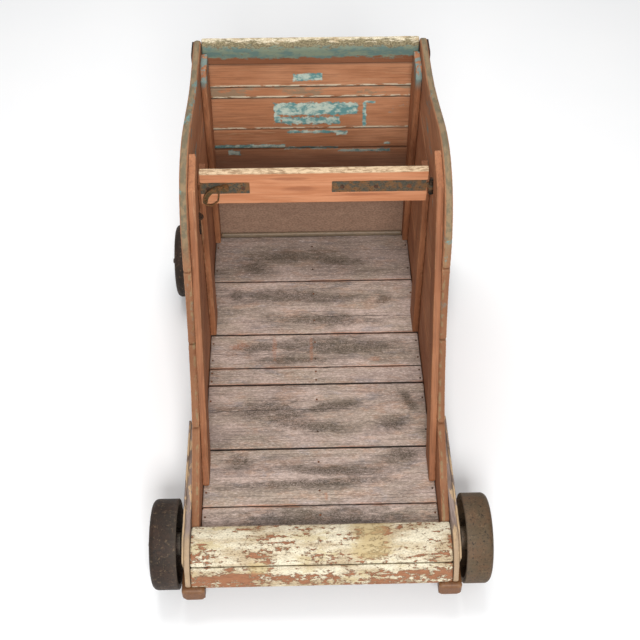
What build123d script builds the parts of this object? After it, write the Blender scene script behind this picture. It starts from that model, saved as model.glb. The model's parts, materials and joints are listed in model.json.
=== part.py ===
"""Low four-wheeled wooden cart: S-curved sides, leaning back, rounded nose and a hinged gate bar.

+Z is up, the front faces -Y, and the origin is on the ground below the middle of the cart.
"Left" and "right" are as seen from the front, so left is -X. Lengths are in millimetres.
Lengthways stations are measured back from the front axle, and side_plane and front_plane shift them.
"""
from build123d import *
import os
from math import cos, radians, sin, sqrt

os.makedirs("parts", exist_ok=True)

# ---- driving dimensions ----
wheel_radius = 101.6
wheel_inner_x = 320.0
wheel_outer_x = 379.0
wheelbase = 904.0
axle_radius = 7.0
axle_half_length = 391.0
running_gap = 0.06

sill_front = -118.0
sill_rear = 992.0
sill_inner_x = 260.0
sill_outer_x = 312.0
sill_bottom = 54.0
sill_top = wheel_radius - axle_radius

cart_rear = 1070.0
front_axle_y = -(cart_rear + sill_front) / 2

inside_x = 273.0
side_thickness = 18.0
side_outer_x = inside_x + side_thickness
side_joints = (sill_top, 260.0, 425.0, 590.0, 790.0)
joint_gap = 0.5

floor_top = 123.0
floor_thickness = 14.0
floor_bottom = floor_top - floor_thickness
floor_joints = (-23.0, 81.0, 241.0, 437.0, 491.0, 604.0, 796.0, 976.0)
nail_radius = 2.5

nose_y, nose_z = -24.0, 77.5
nose_radius = 85.0
nose_thickness = 18.0
nose_start, nose_seam, nose_end = 26.0, -44.0, -81.4

back_foot_y = 980.0
back_lean = 0.1241
back_thickness = 16.5
back_joints = (95.0, 258.0, 409.0, 468.0, 560.5, 592.0, 661.0)
crown_height = 727.0

batten_thickness = 16.0
batten_inner_x = inside_x - batten_thickness
side_nail_radius = 1.8
side_nails_at = [
    (220, 200), (327, 400), (412, 560),
    (650, 200), (672, 400), (690, 560),
    (968, 200), (980, 400), (992, 640),
]

bar_front, bar_rear = 556.0, 574.0
bar_bottom, bar_top = 630.5, 722.5
bar_left, bar_right = -255.0, 250.0
strap_depth = 3.0
strap_low, strap_high = 662.0, 693.0
hinge_x, hinge_y = 258.0, 553.0
hinge_pin_radius = 3.0
hinge_knuckle_radius = 6.0
latch_x, latch_z = -200.0, 682.0
eye_x, eye_y, eye_z = -261.0, 528.0, 619.0

SIDES = (("left", -1), ("right", 1))
SIGNS = (-1, 1)


# ---- helpers ----
def side_plane(sign, inner, thickness):
    """Plane square to X, at the lower-X face of a board that starts `inner` from the middle."""
    x = inner if sign > 0 else -inner - thickness
    return Plane(origin=(x, front_axle_y, 0), x_dir=(0, 1, 0), z_dir=(1, 0, 0))


def front_plane(station):
    """Upright plane across the cart, whose sketches are (X, Z) and extrude towards the front."""
    return Plane(origin=(0, front_axle_y + station, 0), x_dir=(1, 0, 0), z_dir=(0, -1, 0))


def level_plane(height):
    """Level plane whose sketches are (X, station)."""
    return Plane(origin=(0, front_axle_y, height), x_dir=(1, 0, 0), z_dir=(0, 0, 1))


def nose_point(angle, radius):
    """Point of the nose's round section: angle from straight up, positive to the rear."""
    return (nose_y + radius * sin(radians(angle)), nose_z + radius * cos(radians(angle)))


def back_face(height):
    """Station of the leaning back's front face at a height."""
    return back_foot_y + (height - floor_top) * back_lean


def save(part, name):
    """Label a finished piece and write it under its node name."""
    part.label = name
    export_step(part, f"parts/{name}.step")


def block(name, x_range, y_range, z_range, soften=1.0):
    """Write a plain timber: a box between stations, with its long edges eased."""
    with BuildPart() as timber:
        with BuildSketch(level_plane(z_range[0])):
            with Locations((sum(x_range) / 2, sum(y_range) / 2)):
                Rectangle(x_range[1] - x_range[0], y_range[1] - y_range[0])
        extrude(amount=z_range[1] - z_range[0])
        if soften:
            chamfer(timber.edges().filter_by(Axis.X), soften)
    save(timber.part, name)


# ---- running gear ----
for end, station in (("front", 0.0), ("rear", wheelbase)):
    with BuildPart() as axle:
        with BuildSketch(side_plane(1, -axle_half_length, 0)):
            with Locations((station, wheel_radius)):
                Circle(axle_radius)
        extrude(amount=2 * axle_half_length)
        chamfer(axle.edges().filter_by(GeomType.CIRCLE), 1.0)
    save(axle.part, f"{end}_axle")

hub_inner_x, hub_outer_x = 318.0, 380.0
hub_radius = 25.0
hub_draft = 5.0
rim_inner_radius = 89.0
rim_draft = 3.0
rim_face_width, rim_dish = 8.0, 3.0
tread_edge = 1.5
web_inner_x, web_outer_x = 359.0, 369.0
rim_round = 13.0
half_right_angle = radians(45)


def wheel_profile(sign):
    """Half section of a cast wheel: hollow towards the cart, with a round outer shoulder."""
    with BuildLine() as profile:
        Polyline(
            (sign * hub_inner_x, axle_radius + running_gap),
            (sign * hub_inner_x, hub_radius),
            (sign * web_inner_x, hub_radius + hub_draft),
            (sign * web_inner_x, rim_inner_radius - rim_draft),
            (sign * wheel_inner_x, rim_inner_radius),
            (sign * wheel_inner_x, wheel_radius - tread_edge),
            (sign * (wheel_inner_x + tread_edge), wheel_radius),
            (sign * (wheel_outer_x - rim_round), wheel_radius),
        )
        ThreePointArc(
            (sign * (wheel_outer_x - rim_round), wheel_radius),
            (
                sign * (wheel_outer_x - rim_round * (1 - cos(half_right_angle))),
                wheel_radius - rim_round * (1 - sin(half_right_angle)),
            ),
            (sign * wheel_outer_x, wheel_radius - rim_round),
        )
        Polyline(
            (sign * wheel_outer_x, wheel_radius - rim_round),
            (sign * wheel_outer_x, rim_inner_radius - rim_face_width),
            (sign * web_outer_x, rim_inner_radius - rim_face_width - rim_dish),
            (sign * web_outer_x, hub_radius + rim_dish),
            (sign * hub_outer_x, hub_radius - hub_draft / 2),
            (sign * hub_outer_x, axle_radius + running_gap),
            (sign * hub_inner_x, axle_radius + running_gap),
        )
    return profile.edges()


for end, station in (("front", 0.0), ("rear", wheelbase)):
    for side, sign in SIDES:
        axis_plane = Plane(
            origin=(0, front_axle_y + station, wheel_radius), x_dir=(1, 0, 0), z_dir=(0, -1, 0)
        )
        with BuildPart() as wheel:
            with BuildSketch(axis_plane):
                make_face(wheel_profile(sign))
            revolve(axis=Axis((0, front_axle_y + station, wheel_radius), (1, 0, 0)))
        save(wheel.part, f"{end}_{side}_wheel")

collar_radius, collar_gap = 15.0, 0.3
collar_length = hub_inner_x - sill_outer_x - 2 * collar_gap
with BuildPart() as axle_collars:
    for station in (0.0, wheelbase):
        for sign in SIGNS:
            with BuildSketch(side_plane(sign, sill_outer_x + collar_gap, collar_length)):
                with Locations((station, wheel_radius)):
                    Circle(collar_radius)
                    Circle(axle_radius, mode=Mode.SUBTRACT)
            extrude(amount=collar_length)
save(axle_collars.part, "axle_collars")

nut_half_width, nut_length, nut_gap = 10.0, 5.5, 0.5
with BuildPart() as axle_nuts:
    for station in (0.0, wheelbase):
        for sign in SIGNS:
            with BuildSketch(side_plane(sign, hub_outer_x + nut_gap, nut_length)):
                with Locations((station, wheel_radius)):
                    RegularPolygon(nut_half_width, 6, major_radius=False)
                    Circle(axle_radius, mode=Mode.SUBTRACT)
            extrude(amount=nut_length)
save(axle_nuts.part, "axle_nuts")

saddle_width = 14.0
saddle_thickness = 3.0
saddle_reach = 30.0
saddle_gap = 2.0
saddle_outer = axle_radius + saddle_thickness
with BuildPart() as axle_saddles:
    for sign in SIGNS:
        with BuildSketch(side_plane(sign, side_outer_x + saddle_gap, saddle_width)):
            with Locations((wheelbase, sill_top + saddle_thickness / 2)):
                Rectangle(2 * saddle_reach, saddle_thickness)
            with Locations((wheelbase, wheel_radius)):
                Circle(saddle_outer)
            with Locations((wheelbase, sill_top - saddle_outer)):
                Rectangle(4 * saddle_reach, 2 * saddle_outer, mode=Mode.SUBTRACT)
            with Locations((wheelbase, wheel_radius)):
                Circle(axle_radius, mode=Mode.SUBTRACT)
            with Locations((wheelbase, sill_top + axle_radius / 2)):
                Rectangle(2 * axle_radius, axle_radius, mode=Mode.SUBTRACT)
        extrude(amount=saddle_width)
save(axle_saddles.part, "axle_saddles")

# ---- chassis ----
sill_width = sill_outer_x - sill_inner_x
sill_chamfer = 5.0
with BuildPart() as sills:
    with BuildSketch(level_plane(sill_bottom)):
        for sign in SIGNS:
            with Locations((sign * (sill_inner_x + sill_width / 2), (sill_front + sill_rear) / 2)):
                Rectangle(sill_width, sill_rear - sill_front)
    extrude(amount=sill_top - sill_bottom)
    chamfer(sills.edges().filter_by(Axis.Y).group_by(Axis.Z)[0], sill_chamfer)
save(sills.part, "sills")

beam_half_length = sill_inner_x - 0.2
front_beam_lift = 6.0
for name, front, rear, lift in (
    ("front_beam", -88.0, -50.0, front_beam_lift),
    ("middle_beam", 440.0, 490.0, 0.0),
    ("rear_beam", 920.0, 960.0, 0.0),
):
    block(name, (-beam_half_length, beam_half_length), (front, rear), (sill_bottom + lift, sill_top))

bearer_start, bearer_end = 10.0, wheelbase - 12.0
centre_bearer_half_width = 22.0
block(
    "centre_bearer",
    (-centre_bearer_half_width, centre_bearer_half_width),
    (bearer_start, bearer_end),
    (sill_top, floor_bottom),
    0,
)

side_bearer_width = 30.0
with BuildPart() as side_bearers:
    with BuildSketch(level_plane(sill_top)):
        for sign in SIGNS:
            with Locations((sign * (inside_x - side_bearer_width / 2), (bearer_start + bearer_end) / 2)):
                Rectangle(side_bearer_width, bearer_end - bearer_start)
    extrude(amount=floor_bottom - sill_top)
save(side_bearers.part, "side_bearers")

# ---- floor planks, nailed at both ends ----
plank_half_x = inside_x - 0.4
nail_inset = 8.0
nail_axle_clearance = 20.0
floor_nails_at = []
for low, high in zip(floor_joints[:-1], floor_joints[1:]):
    quarter = (high - low) / 4
    for x in (-plank_half_x + nail_inset, 0.0, plank_half_x - nail_inset):
        for station in (low + quarter, high - quarter):
            if min(abs(station), abs(station - wheelbase)) > nail_axle_clearance:
                floor_nails_at.append((x, station))

for number, (low, high) in enumerate(zip(floor_joints[:-1], floor_joints[1:]), start=1):
    with BuildPart() as floor_plank:
        with BuildSketch(level_plane(floor_bottom)):
            with Locations((0, (low + high) / 2)):
                Rectangle(2 * plank_half_x, high - low - 2 * joint_gap)
            with Locations(*floor_nails_at):
                Circle(nail_radius, mode=Mode.SUBTRACT)
        extrude(amount=floor_thickness)
    save(floor_plank.part, f"floor_plank_{number}")

with BuildPart() as floor_nails:
    with BuildSketch(level_plane(floor_bottom)):
        with Locations(*floor_nails_at):
            Circle(nail_radius)
    extrude(amount=floor_thickness)
save(floor_nails.part, "floor_nails")

# ---- rounded nose ----
nose_inner = nose_radius - nose_thickness
transom_height = 141.0
stave_gap = 0.3
notch_reach = 200.0
block(
    "nose_transom",
    (-plank_half_x, plank_half_x),
    (nose_y - nose_thickness, nose_y),
    (sill_top, transom_height),
)

for name, start, end in (
    ("upper_nose_stave", nose_start, nose_seam + stave_gap),
    ("lower_nose_stave", nose_seam - stave_gap, nose_end),
):
    middle = (start + end) / 2
    with BuildPart() as stave:
        with BuildSketch(side_plane(1, -side_outer_x + stave_gap, 0)):
            with BuildLine():
                ThreePointArc(
                    nose_point(start, nose_radius),
                    nose_point(middle, nose_radius),
                    nose_point(end, nose_radius),
                )
                Line(nose_point(end, nose_radius), nose_point(end, nose_inner))
                ThreePointArc(
                    nose_point(end, nose_inner),
                    nose_point(middle, nose_inner),
                    nose_point(start, nose_inner),
                )
                Line(nose_point(start, nose_inner), nose_point(start, nose_radius))
            make_face()
        extrude(amount=2 * (side_outer_x - stave_gap))
        # the lower stave is cut away where it lands on the sills
        with BuildSketch(level_plane(sill_bottom)):
            for sign in SIGNS:
                with Locations((sign * (sill_inner_x + sill_width / 2), sill_front)):
                    Rectangle(sill_width + 2 * stave_gap, notch_reach)
        extrude(amount=sill_top - sill_bottom + 0.2, mode=Mode.SUBTRACT)
    save(stave.part, name)


# ---- S-curved sides, each of four planks ----
def side_outline():
    """Outline of a whole side board, as (station, height)."""
    rear_corner = 25.0
    round_inside = nose_inner - 0.2
    first_angle, middle_angle = nose_start + 0.4, -25
    front_foot = nose_y - sqrt(round_inside**2 - (sill_top - nose_z) ** 2)
    top_start = nose_point(first_angle, nose_radius + 5)
    shoulder = (936, 728)
    rear_foot = cart_rear - (crown_height - rear_corner - sill_top) * back_lean
    with BuildLine() as outline:
        Line(nose_point(first_angle, round_inside), top_start)
        Spline(
            top_start,
            (111, 210),
            (193, 254),
            (262, 330),
            (318, 430),
            (366, 540),
            (404, 668),
            (462, 745),
            (565, 783),
            (700, 765),
            (833, 735),
            shoulder,
            tangents=((1, 0.3), (1, 0)),
        )
        Line(shoulder, (cart_rear - rear_corner, crown_height))
        RadiusArc(
            (cart_rear - rear_corner, crown_height),
            (cart_rear, crown_height - rear_corner),
            rear_corner,
        )
        Line((cart_rear, crown_height - rear_corner), (rear_foot, sill_top))
        Line((rear_foot, sill_top), (front_foot, sill_top))
        ThreePointArc(
            (front_foot, sill_top),
            nose_point(middle_angle, round_inside),
            nose_point(first_angle, round_inside),
        )
    return outline.edges()


axle_holes = [(0.0, wheel_radius), (wheelbase, wheel_radius)]
axle_hole_radius = axle_radius + 0.3
side_blank_length = 1400.0
for side, sign in SIDES:
    for number, (low, high) in enumerate(zip(side_joints[:-1], side_joints[1:]), start=1):
        with BuildPart() as side_plank:
            with BuildSketch(side_plane(sign, inside_x, side_thickness)):
                make_face(side_outline())
                with Locations((wheelbase / 2, (low + high) / 2)):
                    Rectangle(side_blank_length, high - low - joint_gap, mode=Mode.INTERSECT)
                with Locations(*side_nails_at):
                    Circle(side_nail_radius, mode=Mode.SUBTRACT)
                with Locations(*axle_holes):
                    Circle(axle_hole_radius, mode=Mode.SUBTRACT)
            extrude(amount=side_thickness)
        save(side_plank.part, f"{side}_side_plank_{number}")

# ---- low boards outside the front of each side, following the nose ----
board_rear = 295.0
board_thickness = 12.0
guard_thickness = 6.0
cheek_y, cheek_z, cheek_radius = -12.0, 82.0, 97.0


def cheek_arc(radius, lowest):
    """Front edge of an outer board, from its level top down to a height, as a curve and its foot."""
    foot = cheek_y - sqrt(radius**2 - (lowest - cheek_z) ** 2)
    slope = radians(45)
    ThreePointArc(
        (cheek_y, cheek_z + radius),
        (cheek_y - radius * sin(slope / 2), cheek_z + radius * cos(slope / 2)),
        (foot, lowest),
    )
    return foot


with BuildPart() as outer_boards:
    for sign in SIGNS:
        with BuildSketch(side_plane(sign, side_outer_x, board_thickness)):
            with BuildLine():
                foot = cheek_arc(cheek_radius, sill_top)
                Polyline(
                    (foot, sill_top),
                    (board_rear, sill_top),
                    (board_rear, cheek_z + cheek_radius),
                    (cheek_y, cheek_z + cheek_radius),
                )
            make_face()
            with Locations(*axle_holes):
                Circle(axle_hole_radius, mode=Mode.SUBTRACT)
        extrude(amount=board_thickness)
save(outer_boards.part, "outer_boards")

guard_radius = cheek_radius - 2
guard_low = cheek_z + guard_radius * sin(radians(45))
guard_toe, guard_inset = 12.0, 3.0
with BuildPart() as guard_strips:
    for sign in SIGNS:
        with BuildSketch(side_plane(sign, side_outer_x + board_thickness, guard_thickness)):
            with BuildLine():
                foot = cheek_arc(guard_radius, guard_low)
                Polyline(
                    (foot, guard_low),
                    (foot + guard_toe, sill_top),
                    (board_rear - guard_inset, sill_top),
                    (board_rear - guard_inset, cheek_z + guard_radius),
                    (cheek_y, cheek_z + guard_radius),
                )
            make_face()
            with Locations(*axle_holes):
                Circle(axle_hole_radius, mode=Mode.SUBTRACT)
        extrude(amount=guard_thickness)
save(guard_strips.part, "guard_strips")


# ---- battens, posts and cleats nailed inside the sides ----
def inner_pair(name, outline, corner=None):
    """Write one batten for each side, from a closed outline in (station, height)."""
    with BuildPart() as pair:
        for sign in SIGNS:
            with BuildSketch(side_plane(sign, batten_inner_x, batten_thickness)):
                with BuildLine():
                    Polyline(*outline, close=True)
                make_face()
                with Locations(*side_nails_at):
                    Circle(side_nail_radius, mode=Mode.SUBTRACT)
            extrude(amount=batten_thickness)
        if corner:
            edges = pair.edges().filter_by(Axis.X)
            foot = edges.filter_by_position(
                Axis.Z, floor_top - 1, floor_top + 1
            ).group_by(Axis.Y)[0]
            fillet(foot, corner)
    save(pair.part, name)


inner_pair(
    "front_battens",
    ((128, floor_top), (216, floor_top), (563, 775), (473, 745), (177, 190)),
    8.0,
)
inner_pair("middle_posts", ((604, floor_top), (680, floor_top), (734, 600), (658, 600)))
cleat_rear, cleat_gap = 1036.0, 0.3
inner_pair(
    "rear_cleats",
    (
        (950, floor_top),
        (back_face(floor_top) - cleat_gap, floor_top),
        (cleat_rear, floor_top + (cleat_rear + cleat_gap - back_foot_y) / back_lean),
        (cleat_rear, 700),
        (968, 700),
        (947, 676),
    ),
)

nail_head_radius, nail_head_height = 4.5, 1.0
with BuildPart() as side_nails:
    for sign in SIGNS:
        with BuildSketch(side_plane(sign, batten_inner_x, side_outer_x - batten_inner_x)):
            with Locations(*side_nails_at):
                Circle(side_nail_radius)
        extrude(amount=side_outer_x - batten_inner_x)
        with BuildSketch(side_plane(sign, side_outer_x, nail_head_height)):
            with Locations(*side_nails_at):
                Circle(nail_head_radius)
        extrude(amount=nail_head_height)
save(side_nails.part, "side_nails")

# ---- leaning back ----
for number, (low, high) in enumerate(zip(back_joints[:-1], back_joints[1:]), start=1):
    lower, upper = low + joint_gap, high - joint_gap
    with BuildPart() as back_board:
        with BuildSketch(side_plane(1, -plank_half_x, 0)):
            with BuildLine():
                Polyline(
                    (back_face(lower), lower),
                    (back_face(lower) + back_thickness, lower),
                    (back_face(upper) + back_thickness, upper),
                    (back_face(upper), upper),
                    close=True,
                )
            make_face()
        extrude(amount=2 * plank_half_x)
    save(back_board.part, f"back_board_{number}")

curb_height, curb_depth = 14.0, 11.0
block(
    "back_curb",
    (-batten_inner_x + 0.3, batten_inner_x - 0.3),
    (back_foot_y - curb_depth, back_foot_y - 0.4),
    (floor_top, floor_top + curb_height),
    0,
)

crown_front, crown_round = 1040.0, 26.0
crown_top = crown_height - 1
crown_rear, crown_rear_top = cart_rear - 4, crown_height - 4
with BuildPart() as crown_rail:
    with BuildSketch(side_plane(1, -plank_half_x, 0)):
        with BuildLine():
            Polyline(
                (crown_front + crown_round, crown_top),
                (crown_rear, crown_rear_top),
                (crown_rear, back_joints[-1]),
                (crown_front, back_joints[-1]),
                (crown_front, crown_top - crown_round),
            )
            RadiusArc(
                (crown_front, crown_top - crown_round),
                (crown_front + crown_round, crown_top),
                crown_round,
            )
        make_face()
    extrude(amount=2 * plank_half_x)
save(crown_rail.part, "crown_rail")

iron_length, iron_height, iron_round, iron_thickness = 64.0, 46.0, 8.0, 4.0
iron_from_rear, iron_from_top = 40.0, 30.0
with BuildPart() as corner_irons:
    for sign in SIGNS:
        with BuildSketch(side_plane(sign, side_outer_x, iron_thickness)):
            with Locations((cart_rear - iron_from_rear, crown_height - iron_from_top)):
                RectangleRounded(iron_length, iron_height, iron_round)
        extrude(amount=iron_thickness)
save(corner_irons.part, "corner_irons")

# ---- gate bar across the cart, hinged at its right end ----
strap_spans = {"left": (bar_left, -146.0), "right": (37.0, bar_right - 3)}
strap_middle = (strap_low + strap_high) / 2
strap_height = strap_high - strap_low
rivets_at = [(x, strap_middle) for x in (-238, -160, 60, 135, 209)]
rivet_radius, rivet_head_radius, rivet_head_height = 2.5, 5.0, 0.8

with BuildPart() as gate_bar:
    with BuildSketch(front_plane(bar_rear)):
        with Locations(((bar_left + bar_right) / 2, (bar_bottom + bar_top) / 2)):
            Rectangle(bar_right - bar_left, bar_top - bar_bottom)
    extrude(amount=bar_rear - bar_front)
    chamfer(gate_bar.edges().filter_by(Axis.X), 1.5)
    with BuildSketch(front_plane(bar_front + strap_depth)):
        for start, end in (strap_spans["left"], (strap_spans["right"][0], bar_right)):
            with Locations(((start + end) / 2, strap_middle)):
                Rectangle(end - start, strap_height)
    extrude(amount=strap_depth, mode=Mode.SUBTRACT)
    with BuildSketch(front_plane(bar_rear)):
        with Locations(*rivets_at):
            Circle(rivet_radius)
        with Locations((latch_x, latch_z)):
            Circle(hinge_pin_radius)
    extrude(amount=bar_rear - bar_front, mode=Mode.SUBTRACT)
save(gate_bar.part, "gate_bar")

with BuildPart() as latch_strap:
    with BuildSketch(front_plane(bar_front + strap_depth)):
        start, end = strap_spans["left"]
        with Locations(((start + end) / 2, strap_middle)):
            Rectangle(end - start, strap_height)
        with Locations(*rivets_at):
            Circle(rivet_radius, mode=Mode.SUBTRACT)
        with Locations((latch_x, latch_z)):
            Circle(hinge_pin_radius, mode=Mode.SUBTRACT)
    extrude(amount=strap_depth)
save(latch_strap.part, "latch_strap")

moving_knuckle = (strap_middle - 6.5, strap_middle + 6.5)
with BuildPart() as hinge_strap:
    with BuildSketch(front_plane(bar_front + strap_depth)):
        start, end = strap_spans["right"]
        with Locations(((start + end) / 2, strap_middle)):
            Rectangle(end - start, strap_height)
        with Locations(((end + hinge_x) / 2, sum(moving_knuckle) / 2)):
            Rectangle(hinge_x - end, moving_knuckle[1] - moving_knuckle[0])
        with Locations(*rivets_at):
            Circle(rivet_radius, mode=Mode.SUBTRACT)
    extrude(amount=strap_depth)
    with BuildSketch(level_plane(moving_knuckle[0])):
        with Locations((hinge_x, hinge_y)):
            Circle(hinge_knuckle_radius)
    extrude(amount=moving_knuckle[1] - moving_knuckle[0])
    with BuildSketch(level_plane(moving_knuckle[0])):
        with Locations((hinge_x, hinge_y)):
            Circle(hinge_pin_radius + running_gap)
    extrude(amount=moving_knuckle[1] - moving_knuckle[0], mode=Mode.SUBTRACT)
save(hinge_strap.part, "hinge_strap")

with BuildPart() as strap_rivets:
    with BuildSketch(front_plane(bar_rear)):
        with Locations(*rivets_at):
            Circle(rivet_radius)
    extrude(amount=bar_rear - bar_front)
    with BuildSketch(front_plane(bar_front)):
        with Locations(*rivets_at):
            Circle(rivet_head_radius)
    extrude(amount=rivet_head_height)
save(strap_rivets.part, "strap_rivets")

knuckle_gap, knuckle_length = 0.4, 12.6
fixed_knuckles = (
    (moving_knuckle[0] - knuckle_gap - knuckle_length, moving_knuckle[0] - knuckle_gap),
    (moving_knuckle[1] + knuckle_gap, moving_knuckle[1] + knuckle_gap + knuckle_length),
)
leaf_thickness = 4.0
leaf_station, leaf_width, leaf_height, leaf_round = 566.0, 48.0, 75.0, 4.0
knuckle_web = 2 * hinge_knuckle_radius - 3
leaf_inner_x = inside_x - leaf_thickness
with BuildPart() as hinge_leaf:
    with BuildSketch(side_plane(1, leaf_inner_x, leaf_thickness)):
        with Locations((leaf_station, strap_middle)):
            RectangleRounded(leaf_width, leaf_height, leaf_round)
    extrude(amount=leaf_thickness)
    for low, high in fixed_knuckles:
        with BuildSketch(level_plane(low)):
            with Locations((hinge_x, hinge_y)):
                Circle(hinge_knuckle_radius)
            with Locations(((hinge_x + leaf_inner_x + 1) / 2, hinge_y)):
                Rectangle(leaf_inner_x + 1 - hinge_x, knuckle_web)
            with Locations((hinge_x, hinge_y)):
                Circle(hinge_pin_radius, mode=Mode.SUBTRACT)
        extrude(amount=high - low)
save(hinge_leaf.part, "hinge_leaf")

pin_cap_radius, pin_cap_height = 4.8, 3.0
with BuildPart() as hinge_pin:
    with BuildSketch(level_plane(fixed_knuckles[0][0])):
        with Locations((hinge_x, hinge_y)):
            Circle(hinge_pin_radius)
    extrude(amount=fixed_knuckles[1][1] - fixed_knuckles[0][0])
    with BuildSketch(level_plane(fixed_knuckles[1][1])):
        with Locations((hinge_x, hinge_y)):
            Circle(pin_cap_radius)
    extrude(amount=pin_cap_height)
save(hinge_pin.part, "hinge_pin")

# ---- latch: a plate and eye on the left side, a drop pin in the eye, a hook on the bar ----
eye_ring_radius, eye_wire_radius = 8.0, 2.6
pin_radius = 4.0
shank_reach = 6.0
eye_centre = (eye_x, front_axle_y + eye_y, eye_z)
with BuildPart() as latch_plate:
    with BuildSketch(side_plane(-1, leaf_inner_x, leaf_thickness)):
        with BuildLine():
            Polyline((500, 604), (575, 604), (575, 718), (543, 718), close=True)
        make_face()
    extrude(amount=leaf_thickness)
    with BuildSketch(side_plane(-1, leaf_inner_x - 1, leaf_thickness)):
        with Locations((eye_y, eye_z)):
            Circle(eye_wire_radius)
    extrude(amount=shank_reach)
    with BuildSketch(Plane(origin=eye_centre, x_dir=(1, 0, 0), z_dir=(0, -1, 0))):
        with Locations((eye_ring_radius, 0)):
            Circle(eye_wire_radius)
    revolve(axis=Axis(eye_centre, (0, 0, 1)))
save(latch_plate.part, "latch_plate")

pin_head_radius, pin_head_height = 7.0, 4.5
pin_shank_length, pin_taper = 55.0, 1.8
pin_shank_top = eye_z + eye_wire_radius
with BuildPart() as drop_pin:
    with BuildSketch(level_plane(pin_shank_top)):
        with Locations((eye_x, eye_y)):
            Circle(pin_head_radius)
    extrude(amount=pin_head_height)
    with BuildSketch(level_plane(pin_shank_top)) as shank_top:
        with Locations((eye_x, eye_y)):
            Circle(pin_radius)
    with BuildSketch(level_plane(pin_shank_top - pin_shank_length)) as shank_tip:
        with Locations((eye_x, eye_y)):
            Circle(pin_radius - pin_taper)
    loft([shank_tip.sketch, shank_top.sketch])
save(drop_pin.part, "drop_pin")

hook_rear, hook_thickness = bar_front - 1.5, 6.0
hook_width, hook_boss_radius = 11.0, 9.0
hook_curve = Edge.make_three_point_arc((latch_x, latch_z), (-229, 675), (-246, 644))
with BuildPart() as latch_hook:
    with BuildSketch(front_plane(hook_rear)):
        with Locations((latch_x, latch_z)):
            Circle(hook_boss_radius)
        SlotArc(hook_curve, hook_width)
        with Locations((latch_x, latch_z)):
            Circle(hinge_pin_radius + running_gap, mode=Mode.SUBTRACT)
    extrude(amount=hook_thickness)
save(latch_hook.part, "latch_hook")

link_wire_radius = 1.8
link_station = hook_rear - hook_thickness - link_wire_radius
with BuildPart() as latch_link:
    with BuildLine(front_plane(link_station)) as link_path:
        FilletPolyline(
            (-219, 686), (-214, 668), (-217, 648), (-234, 634), (-245, 639), (-244, 650), radius=5
        )
    start = link_path.line @ 0
    with BuildSketch(Plane(origin=start, z_dir=link_path.line % 0)):
        Circle(link_wire_radius)
    sweep(path=link_path.line)
save(latch_link.part, "latch_link")

latch_head_radius, latch_head_height, latch_head_gap = 6.5, 2.5, 0.4
with BuildPart() as latch_rivet:
    with BuildSketch(front_plane(bar_rear)):
        with Locations((latch_x, latch_z)):
            Circle(hinge_pin_radius)
    extrude(amount=bar_rear - hook_rear + hook_thickness + latch_head_gap)
    with BuildSketch(front_plane(hook_rear - hook_thickness - latch_head_gap)):
        with Locations((latch_x, latch_z)):
            Circle(latch_head_radius)
    extrude(amount=latch_head_height)
save(latch_rivet.part, "latch_rivet")
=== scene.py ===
"""Looks of the wooden cart: worn painted boards, rusty castings, and a pale studio around it.

Lengths are in metres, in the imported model's own frame: +Z up, front towards -Y, left is -X.
"""
import json
import math
import bmesh
import bpy
from mathutils import Matrix, Vector, noise


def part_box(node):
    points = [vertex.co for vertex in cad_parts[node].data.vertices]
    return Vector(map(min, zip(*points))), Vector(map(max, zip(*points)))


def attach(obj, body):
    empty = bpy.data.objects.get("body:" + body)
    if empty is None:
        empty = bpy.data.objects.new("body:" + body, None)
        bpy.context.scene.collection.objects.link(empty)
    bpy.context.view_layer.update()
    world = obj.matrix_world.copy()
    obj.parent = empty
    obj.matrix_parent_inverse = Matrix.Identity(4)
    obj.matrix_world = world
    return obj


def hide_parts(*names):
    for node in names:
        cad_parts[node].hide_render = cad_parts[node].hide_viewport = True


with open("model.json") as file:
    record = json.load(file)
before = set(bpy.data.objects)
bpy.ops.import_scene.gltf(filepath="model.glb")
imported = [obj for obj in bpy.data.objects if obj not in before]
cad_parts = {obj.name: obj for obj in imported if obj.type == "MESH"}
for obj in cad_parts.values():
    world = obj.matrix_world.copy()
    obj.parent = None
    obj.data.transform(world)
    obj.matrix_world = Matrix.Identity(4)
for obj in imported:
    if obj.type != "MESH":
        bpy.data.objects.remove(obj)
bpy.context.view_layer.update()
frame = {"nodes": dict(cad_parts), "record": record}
body_of = {
    node: body for body, nodes in frame["record"]["behaviour"]["bodies"].items() for node in nodes
}
X, Y, Z = 0, 1, 2
# degrees by which the grain of the leaning timbers is turned
front_batten_tilt, post_tilt = 27.5, 6.5


# ---- colours and node building ----
def srgb(red, green, blue):
    """A colour given in 0-255 display values, as the linear RGBA that shaders use."""
    def linear(value):
        value /= 255
        return value / 12.92 if value <= 0.04045 else ((value + 0.055) / 1.055) ** 2.4

    return (linear(red), linear(green), linear(blue), 1.0)


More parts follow.
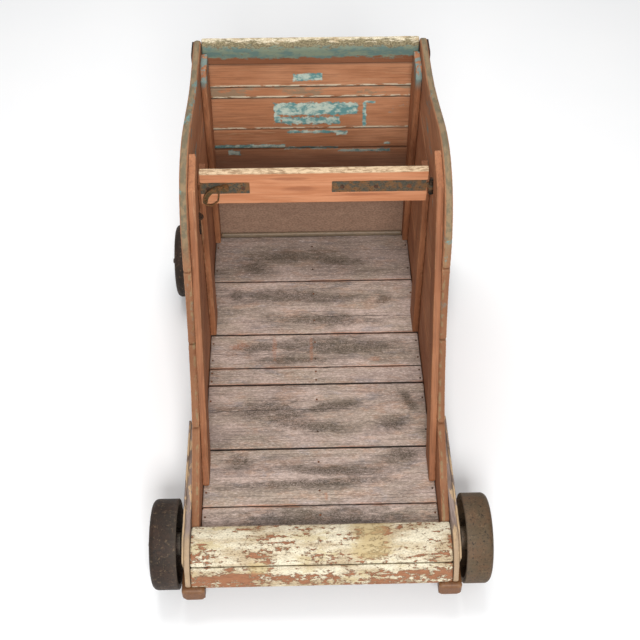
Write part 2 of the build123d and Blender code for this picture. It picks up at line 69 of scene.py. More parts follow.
class Look:
    """A material built from small calls, each of which returns a socket."""

    def __init__(self, name, grain=X, tilt=0.0):
        self.material = bpy.data.materials.new(name)
        self.material.use_nodes = True
        self.tree = self.material.node_tree
        self.tree.nodes.clear()
        self.grain = grain
        self.place = self.add("ShaderNodeTexCoord").outputs["Object"]
        self.along = self.place
        if tilt:
            turned = self.add(
                "ShaderNodeMapping", {"Vector": self.place, "Rotation": (math.radians(tilt), 0, 0)}
            )
            self.along = turned.outputs["Vector"]
        axes = self.add("ShaderNodeSeparateXYZ", {"Vector": self.place})
        self.axis = [axes.outputs[name] for name in "XYZ"]

    def add(self, kind, values=None, **settings):
        node = self.tree.nodes.new(kind)
        for key, value in settings.items():
            setattr(node, key, value)
        for key, value in (values or {}).items():
            self.feed(node.inputs[key], value)
        return node

    def feed(self, socket, value):
        if isinstance(value, bpy.types.NodeSocket):
            self.tree.links.new(value, socket)
        else:
            socket.default_value = value

    def noise(self, across, along=None, shift=0.0, detail=5.0, rough=0.6, twist=0.0):
        """Noise with so many cycles to the metre across the grain, and fewer along it."""
        scale = [across, across, across]
        scale[self.grain] = across if along is None else along
        place = self.add(
            "ShaderNodeMapping",
            {"Vector": self.along, "Scale": scale, "Location": (shift, 1.7 * shift, 2.3 * shift)},
        )
        values = {
            "Vector": place.outputs["Vector"],
            "Scale": 1.0,
            "Detail": detail,
            "Roughness": rough,
            "Distortion": twist,
        }
        return self.add("ShaderNodeTexNoise", values).outputs["Fac"]

    def step(self, value, low, high):
        """0 below low, 1 above high, smooth between. With low above high it falls instead."""
        values = {"Value": value, "From Min": low, "From Max": high}
        node = self.add("ShaderNodeMapRange", values, interpolation_type="SMOOTHSTEP")
        return node.outputs["Result"]

    def math(self, operation, first, second=0.0):
        node = self.add("ShaderNodeMath", operation=operation)
        self.feed(node.inputs[0], first)
        self.feed(node.inputs[1], second)
        return node.outputs[0]

    def both(self, first, second):
        return self.math("MULTIPLY", first, second)

    def either(self, first, second):
        return self.math("MAXIMUM", first, second)

    def mix(self, share, first, second):
        """The first colour, with the second over it where share is 1."""
        node = self.add("ShaderNodeMix", data_type="RGBA")
        self.feed(node.inputs[0], share)
        self.feed(node.inputs[6], first)
        self.feed(node.inputs[7], second)
        return node.outputs[2]

    def shade(self, value, low, high, darkest, colour):
        """A colour darkened to a share of itself where value is low."""
        amount = self.step(value, low, high)
        dark = self.add("ShaderNodeMix", data_type="RGBA", blend_type="MULTIPLY")
        dark.inputs[0].default_value = 1.0
        self.feed(dark.inputs[6], colour)
        dark.inputs[7].default_value = (darkest, darkest, darkest, 1.0)
        return self.mix(amount, dark.outputs[2], colour)

    def ellipse(self, centre, radii, turn=(0, 0, 0)):
        """Distance from a centre, 1 on an ellipsoid of those radii."""
        place = self.add(
            "ShaderNodeMapping",
            {"Vector": self.place, "Location": centre, "Rotation": turn, "Scale": radii},
            vector_type="TEXTURE",
        )
        length = self.add("ShaderNodeVectorMath", operation="LENGTH")
        self.tree.links.new(place.outputs["Vector"], length.inputs[0])
        return length.outputs["Value"]

    def spots(self, ellipses, ragged, inner=0.35, outer=1.15):
        """1 inside any of the ellipses, with a ragged edge."""
        nearest = None
        for centre, radii, turn in ellipses:
            reach = self.ellipse(centre, radii, turn)
            nearest = reach if nearest is None else self.math("MINIMUM", nearest, reach)
        return self.step(self.math("ADD", nearest, ragged), outer, inner)

    def block(self, x_range, z_range, ragged, soft=0.0015):
        """1 inside a rectangle seen from the front, with ragged sides. All in metres."""
        inside = None
        for axis, (low, high) in ((X, x_range), (Z, z_range)):
            from_middle = self.math("SUBTRACT", self.axis[axis], (low + high) / 2)
            reach = self.math("SUBTRACT", (high - low) / 2, self.math("ABSOLUTE", from_middle))
            inside = reach if inside is None else self.math("MINIMUM", inside, reach)
        return self.step(self.math("ADD", inside, ragged), -soft, soft)

    def band(self, axis, low, high, soft):
        """1 between two places along an axis, fading over soft."""
        rise = self.step(self.axis[axis], low - soft, low + soft)
        fall = self.step(self.axis[axis], high + soft, high - soft)
        return self.both(rise, fall)

    def edges(self, low=0.52, high=0.58):
        """1 on outward edges, where wear shows."""
        point = self.add("ShaderNodeNewGeometry").outputs["Pointiness"]
        return self.step(point, low, high)

    def outside(self):
        """1 on faces turned to the rear, which are the outside of the leaning back."""
        normal = self.add("ShaderNodeNewGeometry").outputs["Normal"]
        axes = self.add("ShaderNodeSeparateXYZ", {"Vector": normal})
        return self.step(axes.outputs["Y"], 0.3, 0.7)

    def finish(self, colour, height, roughness, bump=0.6, depth=0.001, metallic=0.0, specular=0.35):
        """Close the tree with a Principled shader and a bump from the height."""
        relief = self.add(
            "ShaderNodeBump", {"Height": height, "Strength": bump, "Distance": depth}
        )
        shader = self.add(
            "ShaderNodeBsdfPrincipled",
            {
                "Base Color": colour,
                "Roughness": roughness,
                "Normal": relief.outputs["Normal"],
                "Metallic": metallic,
                "Specular IOR Level": specular,
            },
        )
        out = self.add("ShaderNodeOutputMaterial")
        self.tree.links.new(shader.outputs[0], out.inputs["Surface"])
        return self.material


# ---- paint and wood ----
TERRACOTTA, TERRACOTTA_DEEP = srgb(196, 141, 104), srgb(170, 114, 78)
BARE_WOOD, BARE_DARK = srgb(186, 148, 112), srgb(112, 82, 58)
TEAL, TEAL_PALE = srgb(92, 140, 140), srgb(186, 200, 186)
CREAM, CREAM_DULL = srgb(220, 210, 184), srgb(184, 164, 132)
OLIVE = srgb(146, 134, 98)
RUST_ORANGE = srgb(176, 104, 58)
SOOT = srgb(44, 36, 30)


def grain_height(look):
    """Fine ridges along the grain, with broader waves under them."""
    fine = look.noise(900.0, 26.0, shift=3.0, detail=3.0)
    broad = look.noise(170.0, 7.0, shift=5.0, detail=4.0, twist=0.4)
    return look.math("ADD", look.both(fine, 0.5), broad)


def terracotta(look, light=TERRACOTTA, deep=TERRACOTTA_DEEP):
    """Worn terracotta paint with the wood's grain showing through, as a colour and its height."""
    height = grain_height(look)
    paint = look.mix(look.step(look.noise(9.0, 3.0, 1.0), 0.35, 0.65), light, deep)
    paint = look.shade(look.noise(260.0, 8.0, 2.0, twist=0.5), 0.36, 0.56, 0.74, paint)
    thin = look.step(look.noise(60.0, 6.0, 4.0, detail=8.0, rough=0.7), 0.58, 0.68)
    colour = look.mix(look.both(thin, 0.55), paint, BARE_WOOD)
    specks = look.step(look.noise(420.0, 210.0, 6.0, detail=2.0), 0.70, 0.76)
    colour = look.mix(look.both(specks, 0.6), colour, BARE_DARK)
    worn = look.both(look.edges(), look.step(look.noise(110.0, 30.0, 7.0), 0.46, 0.60))
    return look.mix(look.both(worn, 0.6), colour, BARE_WOOD), height


def flakes(look, level, colour, threshold=0.60, shift=9.0):
    """Pale chips of old paint along a level line, as a colour with the chips laid on it."""
    line = look.math("ABSOLUTE", look.math("SUBTRACT", look.axis[Z], level))
    near = look.step(line, 0.006, 0.001)
    broken = look.step(look.noise(150.0, 30.0, shift, detail=6.0), threshold - 0.06, threshold)
    return look.mix(look.both(near, broken), colour, CREAM)


def side_wood():
    """Inner and outer sides: terracotta, with a tan and green-grey top edge towards the rear."""
    look = Look("side_paint", Y)
    rim_low, rim_high = 0.56, 0.68
    inboard_from, inboard_to = 0.2830, 0.2790
    colour, height = terracotta(look, srgb(182, 126, 90), srgb(154, 100, 68))
    normal = look.add("ShaderNodeNewGeometry").outputs["Normal"]
    axes = look.add("ShaderNodeSeparateXYZ", {"Vector": normal})
    facing = look.math("ABSOLUTE", axes.outputs["X"])
    top_face = look.step(facing, 0.85, 0.45)
    rim = look.both(top_face, look.step(look.axis[Z], rim_low, rim_high))
    dull = look.step(look.noise(90.0, 25.0, 11.0), 0.42, 0.6)
    grey = look.mix(dull, srgb(132, 114, 86), srgb(100, 96, 76))
    colour = look.mix(look.both(rim, 0.9), colour, grey)
    low_rim = look.both(top_face, look.math("SUBTRACT", 1.0, rim))
    colour = look.mix(look.both(low_rim, 0.75), colour, srgb(118, 78, 50))
    inboard = look.step(look.math("ABSOLUTE", look.axis[X]), inboard_from, inboard_to)
    stripe = look.both(look.both(low_rim, inboard), look.step(look.noise(90.0, 14.0, 14.0), 0.46, 0.58))
    colour = look.mix(look.both(stripe, 0.55), colour, srgb(138, 126, 92))
    teal = look.both(
        look.step(look.noise(30.0, 7.0, 12.0, detail=9.0, rough=0.72), 0.58, 0.63),
        look.step(look.axis[Z], 0.40, 0.66),
    )
    colour = look.mix(look.both(teal, 0.75), colour, TEAL)
    rough = look.step(height, 0.2, 1.2)
    return look.finish(colour, height, look.math("ADD", look.both(rough, 0.2), 0.62), 0.7)


def back_wood():
    """Leaning back: terracotta, teal patches and flakes at the joints, greyer near the floor, painted
    shade under the crown rail and a painted shadow of the gate bar.
    """
    look = Look("back_paint", X)
    plain, height = terracotta(look)
    colour = plain
    ragged = look.math("SUBTRACT", look.noise(105.0, 60.0, 13.0, detail=10.0, rough=0.74), 0.5)
    patch = None
    for x_range, z_range, fray in (
        ((-0.096, 0.122), (0.510, 0.546), 0.030),
        ((-0.096, -0.080), (0.488, 0.512), 0.020),
        ((-0.078, 0.075), (0.484, 0.505), 0.042),
        ((-0.044, 0.030), (0.610, 0.630), 0.026),
        ((0.138, 0.168), (0.543, 0.549), 0.016),
        ((0.136, 0.145), (0.470, 0.546), 0.018),
        ((-0.258, -0.070), (0.411, 0.422), 0.022),
        ((-0.070, 0.072), (0.407, 0.414), 0.018),
        ((0.070, 0.212), (0.397, 0.405), 0.018),
        ((-0.222, -0.190), (0.392, 0.404), 0.022),
        ((-0.064, 0.085), (0.456, 0.463), 0.018),
        ((0.068, 0.096), (0.450, 0.462), 0.020),
        ((0.195, 0.212), (0.420, 0.426), 0.014),
    ):
        shape = look.block(x_range, z_range, look.both(ragged, fray))
        patch = shape if patch is None else look.either(patch, shape)
    pale = look.step(look.noise(70.0, 40.0, 15.0, detail=8.0, rough=0.7), 0.42, 0.58)
    colour = look.mix(patch, colour, look.mix(pale, TEAL, TEAL_PALE))
    height = look.math("ADD", height, look.both(patch, 0.8))
    strip_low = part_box("back_board_5")[0][Z]
    strip_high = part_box("back_board_5")[1][Z]
    greyed = look.both(
        look.band(Z, strip_low, strip_high, 0.002),
        look.step(look.noise(40.0, 14.0, 16.0, detail=9.0, rough=0.72), 0.50, 0.56),
    )
    colour = look.mix(look.both(greyed, 0.65), colour, srgb(128, 120, 98))
    for number in range(2, 7):
        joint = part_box(f"back_board_{number}")[0][Z]
        if number > 3:
            colour = flakes(look, joint + 0.003, colour, 0.50, 9.0 + number)
        away = look.math("ABSOLUTE", look.math("SUBTRACT", look.axis[Z], joint))
        colour = look.mix(look.both(look.step(away, 0.0028, 0.0008), 0.85), colour, SOOT)
    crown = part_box("crown_rail")[0][Z]
    # painted shade under the crown rail: the boards darkened for about 10 mm below its foot
    painted_shade_under_crown = look.step(look.axis[Z], crown - 0.010, crown - 0.001)
    colour = look.mix(look.both(painted_shade_under_crown, 0.7), colour, srgb(70, 48, 36))
    stray = look.step(look.noise(34.0, 12.0, 17.0, detail=9.0, rough=0.72), 0.650, 0.665)
    colour = look.mix(look.both(stray, 0.8), colour, TEAL)
    # painted shadow of the gate bar: the back darkened below about 0.44 m, fully below 0.36 m
    painted_bar_shadow = look.step(look.axis[Z], 0.44, 0.36)
    colour = look.mix(look.both(painted_bar_shadow, 0.72), colour, srgb(66, 40, 30))
    low = look.step(look.axis[Z], 0.30, 0.20)
    dusty = look.mix(look.noise(60.0, 20.0, 18.0), srgb(140, 112, 94), srgb(172, 142, 120))
    dusty = look.shade(look.noise(330.0, 170.0, 19.0, detail=6.0, rough=0.75), 0.42, 0.56, 0.66, dusty)
    colour = look.mix(look.both(low, 0.8), colour, dusty)
    colour = look.mix(look.outside(), colour, plain)
    return look.finish(colour, height, 0.72, 0.7)


def crown_wood():
    """Crown rail: cream on top, then olive, a ragged teal band, and dark orange at its foot."""
    look = Look("crown_paint", X)
    teal_foot, olive_foot, cream_foot = 0.678, 0.706, 0.7185
    plain, height = terracotta(look)
    orange = look.mix(0.75, plain, srgb(108, 60, 34))
    frayed = look.noise(95.0, 34.0, 21.0, detail=10.0, rough=0.74)
    level = look.math("ADD", look.axis[Z], look.both(look.math("SUBTRACT", frayed, 0.5), 0.050))
    speck = look.step(look.noise(420.0, 260.0, 26.0, detail=4.0), 0.40, 0.60)
    faded = look.step(look.noise(80.0, 30.0, 22.0), 0.4, 0.62)
    teal = look.mix(faded, srgb(64, 112, 116), srgb(112, 134, 118))
    olive = look.mix(speck, srgb(96, 86, 62), srgb(142, 130, 98))
    cream = look.mix(look.step(look.noise(110.0, 40.0, 24.0, detail=8.0), 0.48, 0.60), CREAM, CREAM_DULL)
    cream = look.mix(look.both(look.math("SUBTRACT", 1.0, speck), 0.5), cream, srgb(150, 128, 92))
    colour = look.mix(look.step(level, teal_foot, teal_foot + 0.006), orange, look.mix(0.25, teal, OLIVE))
    colour = look.mix(look.step(level, olive_foot, olive_foot + 0.008), colour, olive)
    colour = look.mix(look.step(level, cream_foot, cream_foot + 0.006), colour, cream)
    chips = look.step(look.noise(240.0, 120.0, 25.0, detail=4.0), 0.63, 0.67)
    colour = look.mix(look.both(chips, 0.75), colour, BARE_DARK)
    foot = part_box("crown_rail")[0][Z]
    colour = look.mix(look.step(look.axis[Z], foot + 0.0045, foot + 0.0010), colour, SOOT)
    colour = look.mix(look.outside(), colour, plain)
    return look.finish(colour, height, 0.68, 0.7)


def batten_wood(name, tilt, teal_from=None):
    """Battens, posts and cleats: terracotta, with any teal left above a height."""
    look = Look(name, Z, tilt)
    colour, height = terracotta(look, srgb(168, 112, 76), srgb(142, 90, 58))
    if teal_from:
        tips = look.both(
            look.step(look.axis[Z], teal_from, teal_from + 0.04),
            look.step(look.noise(50.0, 16.0, 31.0, detail=8.0), 0.46, 0.54),
        )
        colour = look.mix(look.both(tips, 0.7), colour, TEAL)
    return look.finish(colour, height, 0.68, 0.7)


def nose_wood():
    """Nose: thick cream paint crackling off an orange coat, mostly gone at the seam and foot."""
    look = Look("nose_paint", X)
    height = grain_height(look)
    orange = look.mix(look.noise(60.0, 14.0, 41.0), srgb(164, 112, 78), srgb(136, 88, 60))
    orange = look.shade(look.noise(420.0, 60.0, 47.0), 0.36, 0.56, 0.72, orange)
    cream = look.mix(look.step(look.noise(30.0, 9.0, 42.0), 0.40, 0.60), CREAM, CREAM_DULL)
    cream = look.shade(look.noise(520.0, 200.0, 43.0, detail=4.0), 0.38, 0.54, 0.66, cream)
    tan = look.step(look.noise(26.0, 10.0, 48.0, detail=8.0, rough=0.7), 0.54, 0.62)
    cream = look.mix(look.both(tan, 0.6), cream, srgb(186, 168, 124))
    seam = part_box("upper_nose_stave")[0][Z]
    low = look.step(look.axis[Z], seam + 0.004, seam - 0.012)
    seam_line = look.band(Z, seam - 0.010, seam + 0.001, 0.004)
    bias = look.math("ADD", look.both(low, 0.085), look.both(seam_line, 0.05))
    chips = look.noise(120.0, 62.0, 44.0, detail=12.0, rough=0.76)
    streaks = look.both(look.math("SUBTRACT", look.noise(120.0, 12.0, 49.0, detail=6.0), 0.5), 0.30)
    wide = look.both(look.math("SUBTRACT", look.noise(26.0, 10.0, 45.0, detail=5.0), 0.5), 0.55)
    gone = look.math("ADD", look.math("ADD", chips, wide), look.math("ADD", bias, streaks))
    bare = look.step(gone, 0.545, 0.570)
    colour = look.mix(bare, cream, orange)
    pits = look.both(look.step(look.noise(460.0, 320.0, 46.0, detail=3.0), 0.63, 0.68), 0.8)
    colour = look.mix(pits, colour, BARE_DARK)
    rubbed = look.spots(
        [
            ((0.110, -0.52, 0.155), (0.055, 0.2, 0.012), (0, 0, 0)),
            ((-0.140, -0.55, 0.135), (0.030, 0.2, 0.012), (0, 0, 0)),
        ],
        look.both(look.math("SUBTRACT", chips, 0.5), 1.6),
        0.5,
        1.15,
    )
    colour = look.mix(look.both(rubbed, 0.8), colour, srgb(184, 162, 116))
    height = look.math("ADD", height, look.both(look.math("SUBTRACT", 1.0, bare), 1.4))
    return look.finish(colour, height, 0.64, 0.85)


def floor_wood():
    """Floor planks: lavender-grey and pinkish, with dark scuffs, rust drips and dark joints, and a painted
    shadow over the rear planks.
    """
    look = Look("floor_paint", X)
    height = grain_height(look)
    mark_z = 0.12
    broad = look.step(look.noise(14.0, 5.0, 51.0), 0.38, 0.62)
    pale = look.mix(broad, srgb(198, 176, 164), srgb(176, 158, 142))
    warm = look.step(look.noise(38.0, 15.0, 56.0, detail=8.0, rough=0.7), 0.50, 0.62)
    pale = look.mix(look.both(warm, 0.5), pale, srgb(190, 154, 130))
    cool = look.step(look.noise(31.0, 12.0, 57.0, detail=8.0, rough=0.7), 0.54, 0.64)
    pale = look.mix(look.both(cool, 0.5), pale, srgb(160, 152, 152))
    hatch = look.noise(400.0, 130.0, 52.0, detail=6.0, rough=0.74)
    colour = look.shade(hatch, 0.40, 0.56, 0.66, pale)
    cloud = look.noise(20.0, 6.0, 59.0, detail=9.0, rough=0.70)
    colour = look.shade(cloud, 0.38, 0.56, 0.70, colour)
    # painted shadow of the gate bar and back: the rear planks darkened from about 0.30 m back
    painted_rear_shadow = look.step(look.axis[Y], 0.30, 0.36)
    colour = look.mix(look.both(painted_rear_shadow, 0.45), colour, srgb(104, 90, 80))
    lit = look.both(look.step(hatch, 0.56, 0.66), 0.65)
    colour = look.mix(lit, colour, srgb(226, 210, 200))
    streak = look.noise(300.0, 9.0, 53.0, detail=6.0, rough=0.7)
    colour = look.shade(streak, 0.38, 0.52, 0.68, colour)
    tear = look.noise(85.0, 34.0, 54.0, detail=10.0, rough=0.78)
    ragged = look.both(look.math("SUBTRACT", tear, 0.5), 3.0)
    scuffs = look.spots(
        [
            ((-0.075, 0.415, mark_z), (0.150, 0.028, 1.0), (0, 0, 0.05)),
            ((0.060, 0.400, mark_z), (0.100, 0.022, 1.0), (0, 0, -0.10)),
            ((-0.160, 0.375, mark_z), (0.050, 0.026, 1.0), (0, 0, 0)),
            ((-0.040, 0.262, mark_z), (0.200, 0.030, 1.0), (0, 0, -0.06)),
            ((-0.210, 0.268, mark_z), (0.022, 0.030, 1.0), (0, 0, 0)),
            ((0.190, 0.250, mark_z), (0.032, 0.018, 1.0), (0, 0, 0.3)),
            ((0.020, 0.180, mark_z), (0.150, 0.028, 1.0), (0, 0, 0)),
            ((0.060, 0.085, mark_z), (0.210, 0.034, 1.0), (0, 0, -0.04)),
            ((-0.150, 0.085, mark_z), (0.080, 0.020, 1.0), (0, 0, 0.1)),
            ((-0.060, 0.040, mark_z), (0.110, 0.016, 1.0), (0, 0, 0)),
            ((-0.085, -0.140, mark_z), (0.070, 0.028, 1.0), (0, 0, 0.15)),
            ((0.030, -0.112, mark_z), (0.110, 0.018, 1.0), (0, 0, 0.16)),
            ((-0.020, -0.168, mark_z), (0.130, 0.020, 1.0), (0, 0, -0.12)),
            ((0.185, -0.165, mark_z), (0.050, 0.028, 1.0), (0, 0, 0)),
            ((0.230, -0.095, mark_z), (0.016, 0.045, 1.0), (0, 0, 0.4)),
            ((-0.190, -0.270, mark_z), (0.040, 0.026, 1.0), (0, 0, 0)),
            ((0.040, -0.300, mark_z), (0.150, 0.018, 1.0), (0, 0, -0.05)),
            ((0.200, -0.262, mark_z), (0.050, 0.030, 1.0), (0, 0, 0)),
            ((0.000, -0.430, mark_z), (0.290, 0.034, 1.0), (0, 0, 0)),
            ((-0.130, -0.115, mark_z), (0.100, 0.034, 1.0), (0, 0, 0.1)),
            ((-0.020, -0.335, mark_z), (0.220, 0.016, 1.0), (0, 0, 0.03)),
        ],
        ragged,
        0.25,
        1.30,
    )
    mottle = look.step(look.noise(480.0, 260.0, 55.0, detail=6.0, rough=0.75), 0.40, 0.58)
    smear = look.both(scuffs, look.math("ADD", look.both(mottle, 0.55), 0.35))
    colour = look.mix(smear, colour, srgb(66, 56, 44))
    drips = look.spots(
        [
            ((-0.105, 0.080, mark_z), (0.007, 0.050, 1.0), (0, 0, 0)),
            ((-0.010, 0.070, mark_z), (0.006, 0.055, 1.0), (0, 0, 0)),
            ((0.150, 0.040, mark_z), (0.018, 0.010, 1.0), (0, 0, 0)),
            ((-0.200, 0.090, mark_z), (0.030, 0.014, 1.0), (0, 0, 0.1)),
            ((0.015, -0.372, mark_z), (0.006, 0.014, 1.0), (0, 0, 0)),
        ],
        ragged,
        0.4,
        1.1,
    )
    colour = look.mix(look.both(drips, look.both(mottle, 0.45)), colour, RUST_ORANGE)
    for number in range(2, 8):
        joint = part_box(f"floor_plank_{number}")[0][Y]
        away = look.math("ABSOLUTE", look.math("SUBTRACT", look.axis[Y], joint))
        beside = look.step(away, 0.007, 0.001)
        stain = look.both(beside, look.step(look.noise(20.0, 9.0, 60.0 + number), 0.42, 0.62))
        colour = look.mix(look.both(stain, 0.55), colour, RUST_ORANGE)
        colour = look.mix(look.step(away, 0.0030, 0.0008), colour, SOOT)
    waver = look.both(look.math("SUBTRACT", look.noise(9.0, 9.0, 58.0), 0.5), 0.030)
    for place, left, right in ((-0.120, -0.27, 0.10), (0.064, -0.27, -0.10), (0.190, 0.00, 0.27)):
        line = look.math("SUBTRACT", look.math("ADD", look.axis[Y], waver), place)
        split = look.step(look.math("ABSOLUTE", line), 0.0014, 0.0004)
        colour = look.mix(look.both(split, look.both(look.band(X, left, right, 0.03), 0.8)), colour, SOOT)
    return look.finish(colour, height, 0.78, 0.8)


def grey_wood(name="lavender_paint", tan=0.0):
    """Low outer boards: thin lavender-grey paint over tan wood."""
    look = Look(name, Y)
    height = grain_height(look)
    broad = look.step(look.noise(50.0, 9.0, 71.0), 0.40, 0.62)
    colour = look.mix(broad, srgb(146, 128, 120), srgb(116, 98, 86))
    bare = look.step(look.noise(80.0, 22.0, 72.0, detail=8.0), 0.56 - tan, 0.60 - tan)
    colour = look.mix(bare, colour, srgb(188, 160, 126))
    colour = look.shade(look.noise(240.0, 30.0, 73.0), 0.35, 0.5, 0.75, colour)
    stave_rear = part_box("upper_nose_stave")[1][Y]
    stave_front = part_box("upper_nose_stave")[0][Y]
    front = look.step(look.axis[Y], stave_rear - 0.02, stave_front + 0.04)
    colour = look.mix(look.both(front, 0.75), colour, srgb(172, 146, 114))
    return look.finish(colour, height, 0.72, 0.7)


def brown_wood(name, grain, deep=srgb(84, 50, 24), light=srgb(128, 82, 42)):
    """Bare or varnished timber between two browns, paler on its edges."""
    look = Look(name, grain)
    height = grain_height(look)
    colour = look.mix(look.noise(120.0, 6.0, 81.0, twist=0.6), deep, light)
    colour = look.shade(look.noise(420.0, 90.0, 83.0), 0.38, 0.54, 0.72, colour)
    worn = look.both(look.edges(), look.noise(80.0, 20.0, 82.0))
    colour = look.mix(look.both(worn, 0.7), colour, srgb(158, 120, 84))
    return look.finish(colour, height, 0.5, 0.6, specular=0.45)


def bar_wood():
    """Gate bar: fresh salmon paint, bare cream wood on its top edge, brown rubs mid-way."""
    look = Look("bar_paint", X)
    height = grain_height(look)
    broad = look.step(look.noise(70.0, 5.0, 91.0, twist=0.5), 0.35, 0.65)
    colour = look.mix(broad, srgb(200, 138, 100), srgb(182, 118, 80))
    colour = look.shade(look.noise(320.0, 7.0, 92.0), 0.34, 0.5, 0.84, colour)
    rubs = look.spots(
        [
            ((-0.035, 0.08, 0.672), (0.045, 1.0, 0.010), (0, 0, 0)),
            ((0.110, 0.08, 0.655), (0.090, 1.0, 0.005), (0, 0, 0)),
            ((-0.060, 0.08, 0.703), (0.050, 1.0, 0.006), (0, 0, 0)),
        ],
        look.both(look.math("SUBTRACT", look.noise(60.0, 14.0, 93.0), 0.5), 1.3),
        0.4,
        1.1,
    )
    colour = look.mix(look.both(rubs, 0.65), colour, srgb(146, 88, 58))
    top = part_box("gate_bar")[1][Z]
    frayed = look.both(look.noise(70.0, 14.0, 94.0), 0.006)
    edge = look.step(look.math("ADD", look.axis[Z], frayed), top - 0.0035, top - 0.0010)
    grimy = look.step(look.noise(190.0, 60.0, 95.0, detail=9.0, rough=0.75), 0.44, 0.60)
    tan = look.mix(grimy, srgb(206, 180, 146), srgb(148, 118, 88))
    colour = look.mix(edge, colour, tan)
    return look.finish(colour, height, 0.62, 0.6)


# ---- metal ----
def iron(name, main, rust, dark, pits=260.0, roughness=0.6, split=None, scale=24.0, shine=0.4, wear=0.0):
    """Rusted iron: blotches of rust and dark pits. split paints the right side lighter, as painted light
    from the right, and wear shows on the edges of dense meshes only, because flat plates have no inner
    points to tell edges by."""
    look = Look(name, X)
    blotch = look.step(look.noise(scale, None, 101.0, detail=10.0, rough=0.72), 0.42, 0.60)
    colour = look.mix(blotch, main, rust)
    # painted light: when split is given, the right side takes lighter colours, as if lit more from the
    # right
    if split:
        right = look.step(look.axis[X], -0.05, 0.05)
        colour = look.mix(right, colour, look.mix(blotch, split[0], split[1]))
    pit = look.noise(pits, None, 102.0, detail=5.0, rough=0.7)
    colour = look.mix(look.step(pit, 0.46, 0.34), colour, dark)
    dust = look.step(look.noise(140.0, None, 103.0, detail=8.0, rough=0.7), 0.56, 0.64)
    colour = look.mix(look.both(dust, 0.35), colour, srgb(134, 112, 84))
    if wear:
        colour = look.mix(look.both(look.edges(0.53, 0.62), wear), colour, srgb(150, 140, 126))
    coarse = look.math("ADD", pit, look.noise(60.0, None, 104.0))
    return look.finish(colour, coarse, roughness, 0.75, 0.0012, 0.25, shine)


# the second pair of colours is painted light: the right wheels lighter, as if lit more from the right
wheel_iron = iron(
    "wheel_rust", srgb(42, 31, 23), srgb(54, 37, 27), srgb(22, 17, 13), 210.0, 0.66,
    (srgb(84, 68, 48), srgb(94, 70, 48)), wear=0.4,
)
axle_iron = iron("axle_rust", srgb(58, 50, 44), srgb(84, 56, 40), srgb(26, 22, 20), 320.0)
strap_iron = iron(
    "strap_rust", srgb(82, 80, 70), srgb(124, 90, 60), srgb(34, 29, 23), 360.0, 0.8, scale=70.0, shine=0.15
)
hook_iron = iron(
    "hook_rust", srgb(86, 70, 46), srgb(124, 84, 50), srgb(30, 25, 18), 340.0, 0.7, scale=90.0, shine=0.2
)
plate_iron = iron(
    "plate_rust", srgb(42, 38, 32), srgb(78, 52, 36), srgb(20, 18, 16), 300.0, 0.7, scale=80.0, shine=0.2
)
nail_iron = iron("nail_rust", srgb(70, 50, 38), srgb(126, 76, 46), srgb(34, 26, 22), 500.0, 0.7)

side_paint, back_paint, crown_paint = side_wood(), back_wood(), crown_wood()
nose_paint, floor_paint, bar_paint = nose_wood(), floor_wood(), bar_wood()
batten_paint = batten_wood("batten_paint", front_batten_tilt)
post_paint = batten_wood("post_paint", post_tilt)
cleat_paint = batten_wood("cleat_paint", post_tilt, teal_from=0.64)
lavender_paint = grey_wood()
guard_paint = grey_wood("guard_paint", 0.10)
brown_lengthways, brown_across = brown_wood("brown_lengthways", Y), brown_wood("brown_across", X)
curb_paint = brown_wood("curb_paint", X, srgb(96, 84, 70), srgb(146, 128, 104))


# ---- worn timber meshes ----
def worn(node, material, thin, grain, voxel=0.0035, rub=0.0012, wave=0.0004, tilt=0.0):
    """Stand for a CAD timber with a dense mesh whose faces wave along the grain and whose edges
    are rubbed and chipped. Points only move inwards, so the piece stays inside the CAD one."""
    source = frame["nodes"][node]
    piece = bpy.data.objects.new("worn_" + node, source.data.copy())
    bpy.context.collection.objects.link(piece)
    remesh = piece.modifiers.new("dense", "REMESH")
    remesh.mode = "VOXEL"
    remesh.voxel_size = voxel
    graph = bpy.context.evaluated_depsgraph_get()
    mesh = bpy.data.meshes.new_from_object(piece.evaluated_get(graph))
    piece.modifiers.clear()
    piece.data = mesh
    low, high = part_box(node)
    turn = Matrix.Rotation(math.radians(tilt), 3, "X")
    shape = bmesh.new()
    shape.from_mesh(mesh)
    shape.normal_update()
    seed = Vector((sum(map(ord, node)) * 0.37 % 50, 0, 0))
    ripples_across, ripples_along = 70.0, 5.0
    chips_per_metre, dents_per_metre = 38.0, 9.0
    moves = []
    for vertex in shape.verts:
        place = turn @ vertex.co
        ripple = Vector(place) * ripples_across
        ripple[grain] = place[grain] * ripples_along
        face = abs(vertex.normal[thin])
        edge = 4 * face * (1 - face)
        chip = max(0.0, noise.noise(vertex.co * chips_per_metre + seed)) * 1.6 + 0.25
        dent = noise.noise(vertex.co * dents_per_metre + seed)
        depth = wave * (0.5 + 0.5 * noise.noise(ripple + seed)) + wave * 0.6 * (1 + dent) / 2
        moves.append(-vertex.normal * (depth + rub * edge * chip))
    for vertex, move in zip(shape.verts, moves):
        vertex.co += move
        for axis in (X, Y, Z):
            vertex.co[axis] = min(max(vertex.co[axis], low[axis]), high[axis])
    for face in shape.faces:
        face.smooth = True
    shape.to_mesh(mesh)
    shape.free()
    mesh.materials.clear()
    mesh.materials.append(material)
    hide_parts(node)
    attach(piece, body_of[node])


def kept(node, material):
    """Leave a CAD node in place and give it a finished material."""
    slots = frame["nodes"][node].data.materials
    slots.clear()
    slots.append(material)


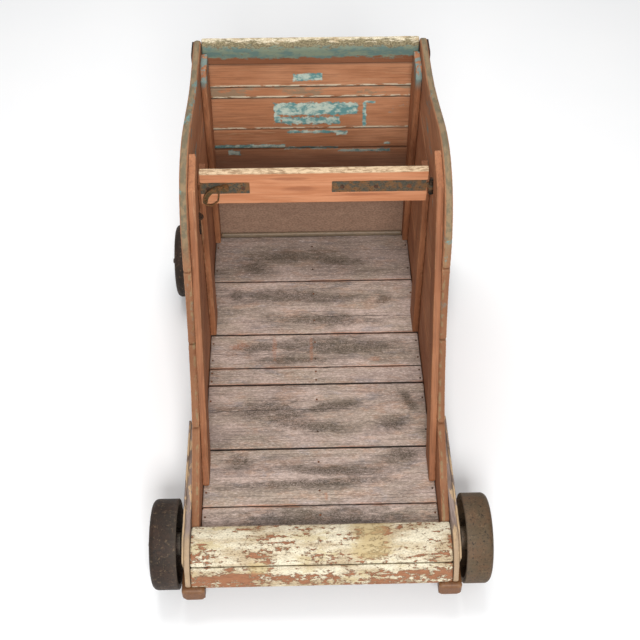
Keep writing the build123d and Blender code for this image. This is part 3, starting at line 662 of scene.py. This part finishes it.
for side in ("left", "right"):
    for number in range(1, 5):
        worn(f"{side}_side_plank_{number}", side_paint, X, Y, 0.004)
for number in range(1, 8):
    worn(f"floor_plank_{number}", floor_paint, Z, X)
for number in range(1, 7):
    worn(f"back_board_{number}", back_paint, Y, X)
worn("crown_rail", crown_paint, Y, X, 0.003)
worn("back_curb", curb_paint, Z, X, 0.003)
for node in ("upper_nose_stave", "lower_nose_stave"):
    worn(node, nose_paint, X, X, 0.003, rub=0.0016, wave=0.0006)
worn("gate_bar", bar_paint, Y, X, 0.0025, rub=0.0009, wave=0.0003)
worn("front_battens", batten_paint, X, Z, 0.003, tilt=front_batten_tilt)
worn("middle_posts", post_paint, X, Z, 0.003, tilt=post_tilt)
worn("rear_cleats", cleat_paint, X, Z, 0.003, tilt=post_tilt)
worn("outer_boards", lavender_paint, X, Y, 0.003)
worn("guard_strips", guard_paint, X, Y, 0.0025, rub=0.0008)
worn("sills", brown_lengthways, X, Y, 0.005, rub=0.0016)
for node in ("side_bearers", "centre_bearer"):
    worn(node, brown_lengthways, Z, Y, 0.006)
for node in ("front_beam", "middle_beam", "rear_beam", "nose_transom"):
    worn(node, brown_across, Z, X, 0.005)

for end in ("front", "rear"):
    kept(f"{end}_axle", axle_iron)
    for side in ("left", "right"):
        kept(f"{end}_{side}_wheel", wheel_iron)
for node in ("axle_collars", "axle_nuts", "axle_saddles"):
    kept(node, axle_iron)
for node in ("latch_strap", "hinge_strap"):
    kept(node, strap_iron)
for node in ("latch_hook", "latch_link", "latch_rivet"):
    kept(node, hook_iron)
for node in ("latch_plate", "hinge_leaf", "hinge_pin", "drop_pin", "corner_irons"):
    kept(node, plate_iron)
for node in ("floor_nails", "side_nails", "strap_rivets"):
    kept(node, nail_iron)


# ---- studio ----
def floor_and_sky(reach, sky_strength):
    """A white floor that reaches so far each way, and an even white surround."""
    mesh = bpy.data.meshes.new("studio_floor")
    corners = [(-reach, -reach, 0), (reach, -reach, 0), (reach, reach, 0), (-reach, reach, 0)]
    mesh.from_pydata(corners, [], [(0, 1, 2, 3)])
    floor = bpy.data.objects.new("studio_floor", mesh)
    bpy.context.collection.objects.link(floor)
    look = Look("studio_white")
    tint = look.mix(look.noise(3.0, None, 1.0, detail=2.0), srgb(250, 250, 250), srgb(246, 247, 248))
    mesh.materials.append(look.finish(tint, look.noise(40.0), 0.9, 0.02))
    world = bpy.data.worlds.new("studio_world")
    world.use_nodes = True
    sky = world.node_tree.nodes["Background"]
    sky.inputs["Color"].default_value = (1.0, 1.0, 1.0, 1.0)
    sky.inputs["Strength"].default_value = sky_strength
    bpy.context.scene.world = world


def soft_light(name, place, target, size, power):
    """A square softbox aimed at a point."""
    lamp = bpy.data.lights.new(name, "AREA")
    lamp.shape = "SQUARE"
    lamp.size = size
    lamp.energy = power
    box = bpy.data.objects.new(name, lamp)
    box.location = place
    box.rotation_euler = (Vector(target) - Vector(place)).to_track_quat("-Z", "Y").to_euler()
    bpy.context.collection.objects.link(box)


def photo_camera(place, down, aside, roll, focal):
    """A camera that looks towards the rear and down. aside turns it to +X; angles in degrees."""
    down, aside, roll = (math.radians(angle) for angle in (down, aside, roll))
    ahead = Vector((
        math.sin(aside) * math.cos(down), math.cos(aside) * math.cos(down), -math.sin(down)
    ))
    level = Vector((math.cos(aside), -math.sin(aside), 0))
    below = ahead.cross(level)
    right = math.cos(roll) * level - math.sin(roll) * below
    up = -(math.sin(roll) * level + math.cos(roll) * below)
    lens = bpy.data.cameras.new("photo_camera")
    lens.sensor_width = 36.0
    lens.lens = focal
    camera = bpy.data.objects.new("photo_camera", lens)
    turn = Matrix((right, up, -ahead)).transposed().to_4x4()
    camera.matrix_world = Matrix.Translation(place) @ turn
    bpy.context.collection.objects.link(camera)
    bpy.context.scene.camera = camera


floor_and_sky(reach=9.0, sky_strength=0.42)
soft_light("key_light", place=(0.1, -3.4, 2.9), target=(0.0, 0.3, 0.3), size=1.2, power=150.0)
soft_light("top_light", place=(-0.2, 1.2, 3.4), target=(0.0, 0.1, 0.2), size=2.0, power=60.0)
photo_camera(Vector((-0.045, -1.742, 2.291)), down=48.48, aside=1.8, roll=0.35, focal=61.2)
bpy.context.scene.view_settings.view_transform = "Standard"
